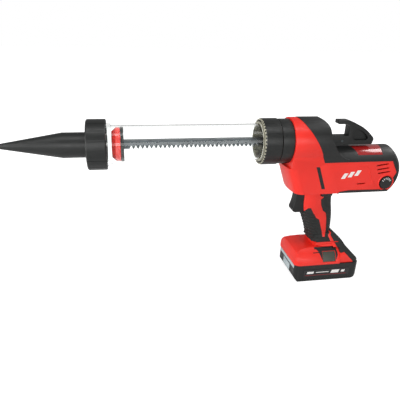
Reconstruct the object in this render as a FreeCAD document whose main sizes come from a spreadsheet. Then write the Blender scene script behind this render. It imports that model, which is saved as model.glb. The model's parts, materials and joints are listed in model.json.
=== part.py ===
"""Battery caulking gun with a clear sausage barrel, a rack drive and a slide-on battery pack.

Row frame in millimetres: +Z up, -X the way the sealant leaves, -Y the tool's left side.
The origin is the centre of the face that the battery pack stands on.
"""
import FreeCAD, Part
import math
import os
import Sketcher
from FreeCAD import Rotation, Vector

DOC = FreeCAD.newDocument("CaulkingGun")
SHEET = DOC.addObject("Spreadsheet::Sheet", "Dims")
SIZES = {
    # barrel line
    "axis_height": 240.0, "tube_radius": 28.0, "tube_wall": 2.0, "tube_front": -380.0, "tube_rear": -114.2,
    "nozzle_tip": -509.0, "nozzle_tip_radius": 4.0, "nozzle_outlet_radius": 2.5, "nozzle_outlet_length": 8.0,
    "nozzle_shoulder": -424.0, "nozzle_radius": 18.5, "nozzle_flange_radius": 27.0, "nozzle_wall": 2.5,
    "cap_front": -389.4, "cap_rear": -361.3, "cap_radius": 37.1, "cap_lip": 4.4, "cap_bore": 31.4,
    "front_ring_rear": -355.0, "front_ring_radius": 31.0, "flange_length": 3.0,
    "plunger_front": -354.0, "plunger_joint": -341.0, "plunger_rear": -336.6, "plunger_radius": 25.6,
    "rear_ring_front": -130.5, "rear_ring_radius": 31.0, "rear_flange_radius": 32.6,
    "collar_front": -127.8, "collar_joint": -101.0, "ring_rear": -82.0, "collar_radius": 36.0,
    "collar_bore": 32.9, "collar_lip": 3.8, "spigot_front": -113.8, "spigot_radius": 32.5,
    "mount_radius": 35.0, "mount_bore": 10.0, "mount_web": 4.0, "mount_wall": 4.0,
    "running_gap": 0.05, "free_gap": 0.4,
    # rack drive
    "rack_width": 8.0, "rack_height": 12.7, "rack_rear": 18.0, "gear_module": 2.117, "pinion_teeth": 12,
    "pinion_place": -40.0, "pinion_width": 8.0, "shaft_radius": 5.0, "shaft_half_length": 26.5,
    "countershaft_drop": 28.0, "countershaft_radius": 4.0, "spur_teeth": 14, "clutch_teeth": 28,
    "spur_width": 6.0, "bevel_module": 1.25, "bevel_pinion_teeth": 12, "bevel_gear_teeth": 24,
    "plate_inner": 22.0, "plate_thickness": 4.6, "bearing_radius": 9.5, "bearing_width": 4.6,
    # motor and planetary stage
    "planet_module": 0.8, "sun_teeth": 12, "planet_teeth": 18, "ring_teeth": 48, "ring_gear_radius": 24.0,
    "motor_front": 22.0, "motor_length": 56.0, "motor_radius": 18.0, "motor_wall": 1.5,
    "motor_shaft_radius": 2.5, "fan_radius": 17.0,
    # housing
    "body_half_width": 33.0, "top_radius": 37.5, "shell_wall": 3.0, "cover_proud": 0.4, "skin_depth": 1.2,
    "under_height": 160.0, "motor_top": 230.0, "grip_half_width": 17.0,
    "dial_place": 82.0, "dial_height": 176.0, "dial_radius": 11.0,
    # battery pack and foot
    "pack_length": 116.0, "pack_width": 80.0, "pack_joint": 31.0, "pack_top": 57.4, "pack_wall": 2.6,
    "pack_foot": 0.0, "cell_radius": 9.1, "cell_length": 65.0, "cell_pitch": 19.0, "cell_height": 12.4,
    "rail_half_width": 24.0, "rail_stem": 19.0, "rail_top": 66.0, "slot_gap": 0.4,
}
for row, (alias, value) in enumerate(SIZES.items(), start=1):
    SHEET.set(f"A{row}", alias.replace("_", " "))
    SHEET.set(f"B{row}", str(value))
    SHEET.setAlias(f"B{row}", alias)
DOC.recompute()


class Dim:
    """A sheet value together with the expression that binds a feature to it."""

    def __init__(self, text, value):
        self.text = text
        self.value = float(value)

    @staticmethod
    def of(other):
        return other if isinstance(other, Dim) else Dim(repr(float(other)), other)

    def __add__(self, other):
        other = Dim.of(other)
        return Dim(f"({self.text} + {other.text})", self.value + other.value)

    def __sub__(self, other):
        other = Dim.of(other)
        return Dim(f"({self.text} - {other.text})", self.value - other.value)

    def __mul__(self, other):
        other = Dim.of(other)
        return Dim(f"({self.text} * {other.text})", self.value * other.value)

    def __neg__(self):
        return Dim(f"(0 - {self.text})", -self.value)

    def __float__(self):
        return self.value


D = {alias: Dim(f"Dims.{alias}", SHEET.get(alias)) for alias in SIZES}
V = {alias: dim.value for alias, dim in D.items()}
SUB_PARTS = []


# ---- helpers -----------------------------------------------------------------------------------

def keep(item, label):
    """Name a finished sub-part; its label is the file name."""
    item.Label = label
    SUB_PARTS.append(item)
    return item


def new_body(label):
    return keep(DOC.addObject("PartDesign::Body", f"Body_{label}"), label)


def origin_feature(body, role):
    return next(item for item in body.Origin.OriginFeatures if item.Role == role)


def draw(body, role, points):
    """Closed outline on an origin plane, each corner bound to the sheet."""
    sketch = body.newObject("Sketcher::SketchObject", f"Sketch_{body.Label}")
    sketch.AttachmentSupport = [(origin_feature(body, role), "")]
    sketch.MapMode = "FlatFace"
    corners = [(Dim.of(across), Dim.of(up)) for across, up in points]
    count = len(corners)
    for index, (across, up) in enumerate(corners):
        next_across, next_up = corners[(index + 1) % count]
        start = Vector(across.value, up.value, 0)
        end = Vector(next_across.value, next_up.value, 0)
        sketch.addGeometry(Part.LineSegment(start, end), False)
    for index in range(count):
        sketch.addConstraint(Sketcher.Constraint("Coincident", index, 2, (index + 1) % count, 1))
    for index, corner in enumerate(corners):
        for kind, size, axis in (("DistanceX", corner[0], -2), ("DistanceY", corner[1], -1)):
            if size.value == 0.0:
                sketch.addConstraint(Sketcher.Constraint("PointOnObject", index, 1, axis))
                continue
            name = f"{kind}_{index}"
            number = sketch.addConstraint(Sketcher.Constraint(kind, -1, 1, index, 1, size.value))
            sketch.renameConstraint(number, name)
            sketch.setExpression(f"Constraints.{name}", size.text)
    return sketch


def turned(label, points):
    """Piece turned about the barrel axis; points are (place along X, radius)."""
    body = new_body(label)
    sketch = draw(body, "XZ_Plane", points)
    turn = body.newObject("PartDesign::Revolution", f"Turn_{label}")
    turn.Profile = sketch
    turn.ReferenceAxis = (sketch, ["H_Axis"])
    turn.Angle = 360.0
    body.setExpression("Placement.Base.z", D["axis_height"].text)
    return body


def flute(body, count, radius, depth, width):
    """Shallow grip flutes all round a turned piece."""
    low = radius - depth
    high = radius + depth
    sketch = draw(body, "YZ_Plane", [(-width, low), (width, low), (width, high), (-width, high)])
    cut = body.newObject("PartDesign::Pocket", f"Flute_{body.Label}")
    cut.Profile = sketch
    cut.Type = "ThroughAll"
    cut.Midplane = True
    pattern = body.newObject("PartDesign::PolarPattern", f"Flutes_{body.Label}")
    pattern.Originals = [cut]
    pattern.Axis = (origin_feature(body, "X_Axis"), [""])
    pattern.Angle = 360.0
    pattern.Occurrences = count
    body.Tip = pattern


def rod(label, radius, length, place, direction):
    """Plain round piece as a Part cylinder with bound radius and length."""
    item = keep(DOC.addObject("Part::Cylinder", f"Rod_{label}"), label)
    item.setExpression("Radius", Dim.of(radius).text)
    item.setExpression("Height", Dim.of(length).text)
    item.Placement = FreeCAD.Placement(Vector(*place), Rotation(Vector(0, 0, 1), Vector(*direction)))
    return item


def solid(label, shape):
    """Piece whose curved or toothed form is set from Part functions that read the sheet."""
    item = keep(DOC.addObject("Part::Feature", f"Form_{label}"), label)
    pieces = shape.Solids
    item.Shape = pieces[0] if len(pieces) == 1 else Part.makeCompound(pieces)
    item.Placement = item.Shape.Placement
    return item


def box(low, high):
    size = [b - a for a, b in zip(low, high)]
    return Part.makeBox(*size, Vector(*low))


def cylinder(radius, start, direction, length):
    return Part.makeCylinder(radius, length, Vector(*start), Vector(*direction))


def tube(outer, inner, start, direction, length):
    return cylinder(outer, start, direction, length).cut(cylinder(inner, start, direction, length))


def wire(points, lift):
    """Closed wire; a step is a corner, or a (middle, end) pair that makes an arc."""
    edges = []
    here = lift(points[0])
    last = points[-1][1] if isinstance(points[-1][0], tuple) else points[-1]
    closing = [] if last == points[0] else [points[0]]
    for step in points[1:] + closing:
        if isinstance(step[0], tuple):
            middle, end = lift(step[0]), lift(step[1])
            edges.append(Part.Arc(here, middle, end).toShape())
        else:
            end = lift(step)
            edges.append(Part.LineSegment(here, end).toShape())
        here = end
    return Part.Wire(edges)


def face(points, plane, level=0.0, grow=0.0):
    """Flat face on the side (XZ), end (YZ) or plan (XY) plane, grown or shrunk all round."""
    lifts = {
        "side": lambda p: Vector(p[0], level, p[1]),
        "end": lambda p: Vector(level, p[0], p[1]),
        "plan": lambda p: Vector(p[0], p[1], level),
    }
    flat = Part.Face(wire(points, lifts[plane]))
    return flat.makeOffset2D(grow) if grow else flat


REACH = 400.0


def prism(points, plane, grow=0.0):
    """Outline run right through the tool, square to its plane."""
    way = {"side": Vector(0, REACH, 0), "end": Vector(REACH, 0, 0), "plan": Vector(0, 0, REACH)}[plane]
    low = 0.0 if plane == "plan" else -REACH / 2
    return face(points, plane, low, grow).extrude(way)


def mirrored(points):
    """Outline given on its -Y side, closed with its mirror image."""
    other = []
    for step in reversed(points):
        other.append((-step[0], step[1]))
    return list(points) + other


def flipped(shape):
    """Mirror image on the other side of the tool."""
    return shape.mirror(Vector(0, 0, 0), Vector(0, 1, 0))


# ---- gears -------------------------------------------------------------------------------------

def gear_outline(teeth, module, slack, grow=1.0, tip=0.95, root=1.25, angle=25.0, phase=0.0):
    """Flat-flanked tooth outline as (u, w) corners; grow stretches heights for cone gears."""
    pitch_radius = module * teeth / 2
    step = 2 * math.pi / teeth
    lean = math.tan(math.radians(angle))
    half = math.pi * module / 4 - slack / 2
    tip_radius = pitch_radius + tip * module * grow
    root_radius = pitch_radius - root * module * grow
    half_tip = half - tip * module * lean * 1.08
    half_root = half + root * module * lean * 0.8
    corners = []
    for tooth in range(teeth):
        centre = phase + tooth * step
        for radius, offset in ((root_radius, -half_root), (pitch_radius, -half), (tip_radius, -half_tip),
                               (tip_radius, half_tip), (pitch_radius, half), (root_radius, half_root)):
            turn = centre + offset / radius
            corners.append((radius * math.cos(turn), radius * math.sin(turn)))
    return corners


def toothed_disc(corners, centre, axis, length):
    """Outline run along X or Y from a centre point on its start face."""
    if axis == "X":
        points = [Vector(centre[0], centre[1] + u, centre[2] + w) for u, w in corners]
        way = Vector(length, 0, 0)
    else:
        points = [Vector(centre[0] + w, centre[1], centre[2] + u) for u, w in corners]
        way = Vector(0, length, 0)
    return Part.Face(Part.makePolygon(points + [points[0]])).extrude(way)


def cone_gear(corners, apex, axis, start, end):
    """Straight bevel teeth: the outline shrinks towards the apex between two stations."""
    wires = []
    for station in (start, end):
        scale = station / start
        points = []
        for u, w in corners:
            if axis == "X":
                points.append(Vector(apex[0] + station, apex[1] + u * scale, apex[2] + w * scale))
            else:
                points.append(Vector(apex[0] + w * scale, apex[1] + station, apex[2] + u * scale))
        wires.append(Part.makePolygon(points + [points[0]]))
    return Part.makeLoft(wires, True, True)


# ---- barrel line -------------------------------------------------------------------------------

def build_nozzle():
    wall = D["nozzle_wall"]
    bore = D["nozzle_radius"] - wall
    flange_front = D["cap_front"] + D["cap_lip"]
    flange_rear = flange_front + D["flange_length"]
    turned("nozzle", [
        (D["nozzle_tip"], D["nozzle_outlet_radius"]), (D["nozzle_tip"], D["nozzle_tip_radius"]),
        (D["nozzle_shoulder"], D["nozzle_radius"]), (flange_front, D["nozzle_radius"]),
        (flange_front, D["nozzle_flange_radius"]), (flange_rear, D["nozzle_flange_radius"]),
        (flange_rear, bore), (D["nozzle_shoulder"], bore),
        (D["nozzle_tip"] + D["nozzle_outlet_length"], D["nozzle_outlet_radius"]),
    ])


def build_front_cap():
    hole = D["nozzle_radius"] + D["free_gap"]
    inside = D["cap_front"] + D["cap_lip"] - 0.3
    body = turned("front_cap", [
        (D["cap_front"], hole), (D["cap_front"], D["cap_radius"] - 1.6),
        (D["cap_front"] + 1.6, D["cap_radius"]), (D["cap_rear"] - 1.2, D["cap_radius"]),
        (D["cap_rear"], D["cap_radius"] - 1.0), (D["cap_rear"], D["cap_bore"]),
        (inside, D["cap_bore"]), (inside, hole),
    ])
    flute(body, 16, D["cap_radius"], 0.3, 0.9)


def build_front_ring():
    seat = D["cap_front"] + D["cap_lip"] + D["flange_length"] + 0.4
    turned("front_ring", [
        (seat, D["tube_radius"]), (seat, D["front_ring_radius"]),
        (D["front_ring_rear"], D["front_ring_radius"]), (D["front_ring_rear"], D["tube_radius"]),
    ])


def build_tube():
    inner = D["tube_radius"] - D["tube_wall"]
    turned("barrel_tube", [
        (D["tube_front"], inner), (D["tube_front"], D["tube_radius"]),
        (D["tube_rear"], D["tube_radius"]), (D["tube_rear"], inner),
    ])


def build_rear_ring():
    lip = D["collar_front"] + D["collar_lip"] + 0.4
    back = lip + D["flange_length"]
    turned("rear_ring", [
        (D["rear_ring_front"], D["tube_radius"]), (D["rear_ring_front"], D["rear_ring_radius"]),
        (lip, D["rear_ring_radius"]), (lip, D["rear_flange_radius"]),
        (back, D["rear_flange_radius"]), (back, D["rear_ring_radius"]),
        (D["tube_rear"], D["rear_ring_radius"]), (D["tube_rear"], D["tube_radius"]),
    ])


def build_barrel_collar():
    hole = D["rear_ring_radius"] + D["free_gap"]
    lip = D["collar_front"] + D["collar_lip"]
    end = D["collar_joint"] - 0.6
    body = turned("barrel_collar", [
        (D["collar_front"], hole), (D["collar_front"], D["collar_radius"] - 1.4),
        (D["collar_front"] + 1.4, D["collar_radius"]), (end - 1.0, D["collar_radius"]),
        (end, D["collar_radius"] - 1.0), (end, D["collar_bore"]), (lip, D["collar_bore"]), (lip, hole),
    ])
    flute(body, 12, D["collar_radius"], 0.35, 2.2)


def build_mount_ring():
    web_rear = D["spigot_front"] + D["mount_web"]
    turned("mount_ring", [
        (D["spigot_front"], D["mount_bore"]), (D["spigot_front"], D["spigot_radius"]),
        (D["collar_joint"], D["spigot_radius"]), (D["collar_joint"], D["mount_radius"]),
        (D["ring_rear"], D["mount_radius"]), (D["ring_rear"], D["spigot_radius"] - D["mount_wall"]),
        (web_rear, D["spigot_radius"] - D["mount_wall"]), (web_rear, D["mount_bore"]),
    ])


def build_plunger():
    nose = 6.0
    turned("plunger_disc", [
        (D["plunger_front"], 0), (D["plunger_front"], D["plunger_radius"] - nose),
        (D["plunger_front"] + nose, D["plunger_radius"] - 0.6), (D["plunger_joint"], D["plunger_radius"] - 0.6),
        (D["plunger_joint"], 0),
    ])
    turned("plunger_seal", [
        (D["plunger_joint"], 0), (D["plunger_joint"], D["plunger_radius"]),
        (D["plunger_rear"] - 1.0, D["plunger_radius"]), (D["plunger_rear"], D["plunger_radius"] - 1.0),
        (D["plunger_rear"], 0),
    ])


def build_rack():
    """Steel rack with its teeth downwards; the plunger boss is its round front end."""
    half = V["rack_height"] / 2
    module = V["gear_module"]
    pitch = math.pi * module
    lean = math.tan(math.radians(25.0))
    depth = 2.25 * module
    half_tip = pitch / 4 - module * lean
    half_root = half_tip + depth * lean
    front = V["plunger_rear"]
    base = V["axis_height"] - half
    corners = [Vector(front, 0, base + V["rack_height"]), Vector(front, 0, base)]
    gap = V["pinion_place"]
    first = math.ceil((front + 4.0 - gap) / pitch)
    last = math.floor((V["rack_rear"] - 30.0 - gap) / pitch)
    for number in range(first, last + 1):
        middle = gap + number * pitch
        for offset, rise in ((-pitch / 2 + half_tip, 0.0), (-pitch / 2 + half_root, depth),
                             (pitch / 2 - half_root, depth), (pitch / 2 - half_tip, 0.0)):
            corners.append(Vector(middle + offset, 0, base + rise))
    corners.append(Vector(V["rack_rear"], 0, base))
    corners.append(Vector(V["rack_rear"], 0, base + V["rack_height"]))
    profile = Part.Face(Part.makePolygon(corners + [corners[0]]))
    bar = profile.extrude(Vector(0, V["rack_width"], 0))
    bar.translate(Vector(0, -V["rack_width"] / 2, 0))
    solid("rack", bar)


def build_hook():
    """Moulded pull hook with a lightening pocket on each side, pinned to the rack."""
    base = V["axis_height"] - V["rack_height"] / 2
    outline = [
        (-15.0, base), (-15.0, 248.0), (17.5, 248.0), (17.5, 262.5), ((15.8, 265.8), (11.5, 267.2)),
        (-1.5, 267.2), (-1.5, 273.0), (14.5, 273.0), ((22.5, 270.6), (30.0, 267.0)),
        ((46.0, 258.4), (59.0, 247.0)), ((62.0, 243.4), (61.4, 238.0)), ((60.4, 234.8), (57.0, base)),
    ]
    pocket = [
        (25.0, 251.5), ((26.4, 257.0), (31.5, 259.5)), ((42.0, 254.6), (50.5, 246.8)),
        ((51.4, 242.8), (47.5, 240.8)), (31.0, 240.8), ((26.4, 243.4), (25.0, 248.5)),
    ]
    half, web = 7.5, 2.5
    outer = face(outline, "side", -half).extrude(Vector(0, 2 * half, 0))
    hollow = face(pocket, "side", -half - 1).extrude(Vector(0, half + 1 - web, 0))
    slot = box((-16, -V["rack_width"] / 2, base - 1),
               (V["rack_rear"], V["rack_width"] / 2, V["axis_height"] + V["rack_height"] / 2))
    pin_radius = 2.0
    pin_place = 8.0
    hole = cylinder(pin_radius, (pin_place, -half, V["axis_height"]), (0, 1, 0), 2 * half)
    solid("pull_hook", outer.cut(hollow).cut(flipped(hollow)).cut(slot).cut(hole))
    rack = next(item for item in SUB_PARTS if item.Label == "rack")
    rack.Shape = rack.Shape.cut(hole).Solids[0]
    rod("hook_pin", pin_radius, 2 * half, (pin_place, -half, V["axis_height"]), (0, 1, 0))


# ---- rack drive --------------------------------------------------------------------------------

def shaft_height():
    """Height of the rack pinion's axis under the rack's pitch line."""
    pitch_line = V["axis_height"] - V["rack_height"] / 2 + V["gear_module"]
    return pitch_line - V["gear_module"] * V["pinion_teeth"] / 2


def build_drive():
    place, high = V["pinion_place"], shaft_height()
    low = high - V["countershaft_drop"]
    spur_module = 2 * V["countershaft_drop"] / (V["spur_teeth"] + V["clutch_teeth"])
    spur_start = -18.5
    teeth = int(V["pinion_teeth"])
    half = V["pinion_width"] / 2
    corners = gear_outline(teeth, V["gear_module"], 0.9, tip=0.85)
    wheel = toothed_disc(corners, (place, -half, high), "Y", 2 * half)
    length = V["shaft_half_length"]
    shaft = cylinder(V["shaft_radius"], (place, -length, high), (0, 1, 0), 2 * length)
    solid("rack_pinion", wheel.fuse(shaft).removeSplitter())

    teeth = int(V["clutch_teeth"])
    corners = gear_outline(teeth, spur_module, 0.3, phase=math.pi / teeth)
    clutch = toothed_disc(corners, (place, spur_start, high), "Y", V["spur_width"])
    bore = cylinder(V["shaft_radius"] + V["running_gap"], (place, -30, high), (0, 1, 0), 60)
    dogs = tube(11.0, V["shaft_radius"] + V["running_gap"], (place, spur_start + V["spur_width"], high),
                (0, 1, 0), 3.0)
    solid("clutch_gear", clutch.cut(bore).fuse(dogs))

    corners = gear_outline(int(V["spur_teeth"]), spur_module, 0.3)
    spur = toothed_disc(corners, (place, spur_start, low), "Y", V["spur_width"])
    bevel_teeth, mate_teeth = int(V["bevel_gear_teeth"]), int(V["bevel_pinion_teeth"])
    gear_reach = V["bevel_module"] * mate_teeth / 2
    pinion_reach = V["bevel_module"] * bevel_teeth / 2
    slant = math.atan(bevel_teeth / mate_teeth)
    corners = gear_outline(bevel_teeth, V["bevel_module"], 0.35, 1 / math.cos(slant), 0.7, 1.1, 20.0)
    bevel = cone_gear(corners, (place, 0, low), "Y", gear_reach, gear_reach * 0.62)
    backing = cylinder(pinion_reach - 2.2, (place, gear_reach, low), (0, 1, 0), 5.0)
    axle = cylinder(V["countershaft_radius"], (place, -length, low), (0, 1, 0), 2 * length)
    solid("countershaft", spur.fuse([bevel, backing, axle]).removeSplitter())
    return low


def build_gear_frame(low):
    """Two aluminium side plates, four ball bearings and two rack guides."""
    place, high = V["pinion_place"], shaft_height()
    inner, thick = V["plate_inner"], V["plate_thickness"]
    outline = [(-71.0, 209.0), (-61.5, 182.0), (-14.0, 182.0), (-14.0, 224.0), (-27.0, 241.0), (-31.0, 254.0),
               (-75.5, 254.0), (-75.5, 217.0), (-71.0, 214.0)]
    plate = face(outline, "side", -inner - thick).extrude(Vector(0, thick, 0))
    for height in (high, low):
        plate = plate.cut(cylinder(V["bearing_radius"], (place, -inner - thick - 1, height), (0, 1, 0), thick + 2))
    solid("gear_plate_left", plate)
    solid("gear_plate_right", flipped(plate))
    width = V["bearing_width"]
    for label, radius, height in (("pinion_bearings", V["shaft_radius"], high),
                                  ("countershaft_bearings", V["countershaft_radius"], low)):
        ring = tube(V["bearing_radius"], radius + V["running_gap"], (place, -inner - width, height), (0, 1, 0), width)
        solid(label, Part.makeCompound([ring, flipped(ring)]))
    gap = V["free_gap"]
    half = V["rack_width"] / 2 + gap
    tall = V["rack_height"] / 2 + gap
    axis = V["axis_height"]
    for label, start, end in (("rack_guide_front", -75.0, -63.0), ("rack_guide_rear", -32.0, -26.8)):
        block = box((start, -inner, axis - 9.0), (end, inner, axis + 9.0))
        slot = box((start - 1, -half, axis - tall), (end + 1, half, axis + tall))
        gear_way = cylinder(20.6, (place, -19.5, high), (0, 1, 0), 25.5)
        solid(label, block.cut([slot, gear_way]))


def build_motor(low):
    """Motor, fan and one planetary stage on a line parallel to the barrel."""
    module = V["planet_module"]
    sun, planet, ring = int(V["sun_teeth"]), int(V["planet_teeth"]), int(V["ring_teeth"])
    start, width = 4.5, 8.5
    outer = V["ring_gear_radius"]
    slack = 0.22
    corners = gear_outline(ring, module, -slack, 1.0, 1.15, 0.85, phase=math.pi / ring)
    body = cylinder(outer, (0, 0, low), (1, 0, 0), 18.0)
    body = body.cut(cylinder(18.0, (-1, 0, low), (1, 0, 0), start + 1))
    body = body.cut(toothed_disc(corners, (start, 0, low), "X", 20.0))
    rear_plate = tube(outer, 5.0, (18.0, 0, low), (1, 0, 0), 4.0)
    solid("ring_gear", body.fuse(rear_plate).removeSplitter())
    shaft = V["motor_shaft_radius"]
    corners = gear_outline(sun, module, slack)
    wheel = toothed_disc(corners, (start, 0, low), "X", width + 1)
    core = cylinder(13.5, (V["motor_front"] + 8, 0, low), (1, 0, 0), V["motor_length"] - 16)
    spindle = cylinder(shaft, (start, 0, low), (1, 0, 0), 86.0)
    solid("motor_rotor", wheel.fuse([core, spindle]).removeSplitter())
    orbit = module * (sun + planet) / 2
    for number in range(3):
        turn = 2 * math.pi * number / 3
        across, up = orbit * math.cos(turn), orbit * math.sin(turn)
        phase = math.pi + turn + turn * sun / planet + math.pi / planet
        corners = gear_outline(planet, module, slack, phase=phase)
        wheel = toothed_disc(corners, (start, across, low + up), "X", width)
        bore = cylinder(2.0 + V["running_gap"], (0, across, low + up), (1, 0, 0), 20)
        solid(f"planet_gear_{number + 1}", wheel.cut(bore))
    bevel_teeth, mate_teeth = int(V["bevel_pinion_teeth"]), int(V["bevel_gear_teeth"])
    reach = V["bevel_module"] * mate_teeth / 2
    slant = math.atan(bevel_teeth / mate_teeth)
    phase = math.pi / bevel_teeth
    corners = gear_outline(bevel_teeth, V["bevel_module"], 0.35, 1 / math.cos(slant), 0.7, 1.1, 20.0, phase)
    bevel = cone_gear(corners, (V["pinion_place"], 0, low), "X", reach, reach * 0.62)
    disc = cylinder(16.5, (1.0, 0, low), (1, 0, 0), 3.0)
    stem_start = V["pinion_place"] + reach
    stem = cylinder(V["countershaft_radius"], (stem_start, 0, low), (1, 0, 0), 2.0 - stem_start)
    pins = []
    for number in range(3):
        turn = 2 * math.pi * number / 3
        across, up = orbit * math.cos(turn), orbit * math.sin(turn)
        pins.append(cylinder(2.0, (1.0, across, low + up), (1, 0, 0), 12.4))
    solid("planet_carrier", disc.fuse([bevel, stem] + pins).removeSplitter())
    nose = tube(outer, V["bearing_radius"], (-6.0, 0, low), (1, 0, 0), 6.0)
    solid("output_plate", nose)
    solid("output_bearing", tube(V["bearing_radius"], V["countershaft_radius"] + V["running_gap"],
                                 (-6.0, 0, low), (1, 0, 0), 6.0))
    front, length, radius, wall = V["motor_front"], V["motor_length"], V["motor_radius"], V["motor_wall"]
    can = cylinder(radius, (front, 0, low), (1, 0, 0), length)
    can = can.cut(cylinder(radius - wall, (front + 3, 0, low), (1, 0, 0), length - 6))
    can = can.cut(cylinder(shaft + V["running_gap"], (front - 1, 0, low), (1, 0, 0), length + 2))
    solid("motor_can", can)
    hub = tube(6.0, shaft, (82.0, 0, low), (1, 0, 0), 6.0)
    blades = []
    for number in range(9):
        blade = box((82.5, -0.8, 5.0), (87.5, 0.8, V["fan_radius"]))
        blade.rotate(Vector(0, 0, 0), Vector(1, 0, 0), 360.0 * number / 9)
        blade.translate(Vector(0, 0, low))
        blades.append(blade)
    solid("motor_fan", hub.fuse(blades).cut(cylinder(shaft, (80, 0, low), (1, 0, 0), 10)))


# ---- housing -----------------------------------------------------------------------------------

def nose_form(grow):
    """Gearbox half-cylinder around the barrel line, swept down behind into the motor housing."""
    side = [(-82.0, 204.0), (-82.0, 277.5), (-35.0, 277.5), ((-28.3, 272.2), (-25.0, 262.0)),
            ((-22.3, 247.5), (-16.3, 237.5)), ((-7.5, 226.0), (6.0, 217.3)), (12.0, 216.0), (12.0, 204.0)]
    half = V["body_half_width"]
    top = V["top_radius"]
    axis = V["axis_height"]
    shoulder = math.sqrt(top ** 2 - half ** 2)
    end = [(-half, 190.0), (-half, axis - shoulder), ((-top, axis), (-half, axis + shoulder)),
           ((0.0, axis + top), (half, axis + shoulder)), ((top, axis), (half, axis - shoulder)), (half, 190.0)]
    return prism(side, "side", grow).common(prism(end, "end", grow))


def chin_form(grow):
    """Raked block under the barrel line: a broad front face with eased corners."""
    half = V["body_half_width"]
    top = 216.0
    drop = top - V["under_height"]
    rake = 0.35
    ledge = V["axis_height"] - V["collar_radius"] - 1.5
    plan = [(-18.0, half), (-74.5, half), ((-84.8, 30.6), (-89.6, 25.0)), ((-92.5, 0.0), (-89.6, -25.0)),
            ((-84.8, -30.6), (-74.5, -half)), (-18.0, -half)]
    base = face(plan, "plan", top + grow, grow)
    raked = base.extrude(Vector(rake * (drop + 2 * grow), 0, -drop - 2 * grow))
    behind_ring = box((V["ring_rear"] - grow, -REACH, 0), (REACH, REACH, REACH))
    under_ring = box((-REACH, -REACH, 0), (REACH, REACH, ledge + grow))
    return raked.common(behind_ring.fuse(under_ring).removeSplitter())


def motor_form(grow):
    """Crowned motor housing closed by a dome at its rear."""
    half = V["body_half_width"]
    under, top = V["under_height"], V["motor_top"]
    middle, wide, rear = 190.0, 50.0 + grow, 118.0 + grow
    shoulder, low = 213.0, 2.0
    end = [(-half, under + low), (-half, shoulder), ((0.0, top), (half, shoulder)),
           (half, under + low), ((half - 0.6, under + 0.6), (half - low, under)), (-half + low, under),
           ((-half + 0.6, under + 0.6), (-half, under + low))]
    profile = face([(-24.0 - grow, 0.0), (-24.0 - grow, wide), (74.0, wide),
                    ((103.0 + 0.7 * grow, 31.0 + 0.7 * grow), (rear, 0.0))], "side")
    dome = profile.revolve(Vector(0, 0, 0), Vector(1, 0, 0), 360)
    dome.translate(Vector(0, 0, middle))
    return prism(end, "end", grow).common(dome)


def web_form(grow):
    """Fillet that carries the grip's back up into the motor housing."""
    side = [(-20.0, 166.0), (-20.0, 148.0), (2.5, 148.0), ((6.2, 156.5), (15.0, 160.0)), (20.0, 166.0)]
    return prism(side, "side", grow).common(box((-REACH, -12.0 - grow, 0), (REACH, 12.0 + grow, REACH)))


def grip_form(grow):
    """Oval grip lofted through its hand-sized sections."""
    stations = ((166.0, -48.5, 5.5, 1.0), (150.0, -47.0, 4.8, 1.0), (134.0, -46.5, 5.8, 1.0),
                (117.0, -43.5, 8.8, 1.0), (104.0, -38.5, 10.2, 1.0), (90.0, -33.0, 10.8, 0.98),
                (75.0, -28.5, 10.6, 0.97), (57.8, -25.5, 11.8, 1.0))
    wires = []
    for height, front, rear, swell in stations:
        middle, long = (front + rear) / 2, (rear - front) / 2 + grow
        wide = V["grip_half_width"] * swell + grow
        if height < 60.0:
            height -= grow
        wires.append(squared_oval(middle, height, long, wide))
    return Part.makeLoft(wires, True, False)


def squared_oval(middle, height, long, wide, power=2.8, corners=20):
    """Level superellipse, blunter than an ellipse at its ends and sides."""
    points = []
    for number in range(corners):
        turn = 2 * math.pi * number / corners
        across, up = math.cos(turn), math.sin(turn)
        points.append(Vector(middle + long * math.copysign(abs(across) ** (2 / power), across),
                             wide * math.copysign(abs(up) ** (2 / power), up), height))
    curve = Part.BSplineCurve()
    curve.interpolate(points, PeriodicFlag=True)
    return Part.Wire([curve.toShape()])


def foot_form(grow):
    base = V["pack_joint"] + V["slot_gap"]
    deck = V["pack_top"] + V["slot_gap"]
    side = [(-29.0, deck), (22.6, deck), (22.6, base), (58.0, base), ((54.5, 37.0), (47.0, 45.0)),
            (33.0, 60.0), ((24.0, 72.0), (12.0, 81.0)), (-20.0, 76.0)]
    end = mirrored([(-15.0, 90.0), (-17.0, 76.0), (-27.0, 60.0), (-38.0, 46.0), (-38.0, base)])
    plan = [(-29.0, -14.0), (-18.0, -22.0), (8.0, -34.0), (24.0, -38.0), (48.0, -38.0),
            ((55.0, -35.0), (58.0, -28.0)), (58.0, 28.0), ((55.0, 35.0), (48.0, 38.0)), (24.0, 38.0), (8.0, 34.0), (-18.0, 22.0), (-29.0, 14.0)]
    return prism(side, "side", grow).common(prism(end, "end", grow)).common(prism(plan, "plan", grow))


def housing_form(grow):
    others = [chin_form(grow), motor_form(grow), web_form(grow), grip_form(grow), foot_form(grow)]
    return nose_form(grow).fuse(others)


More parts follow.
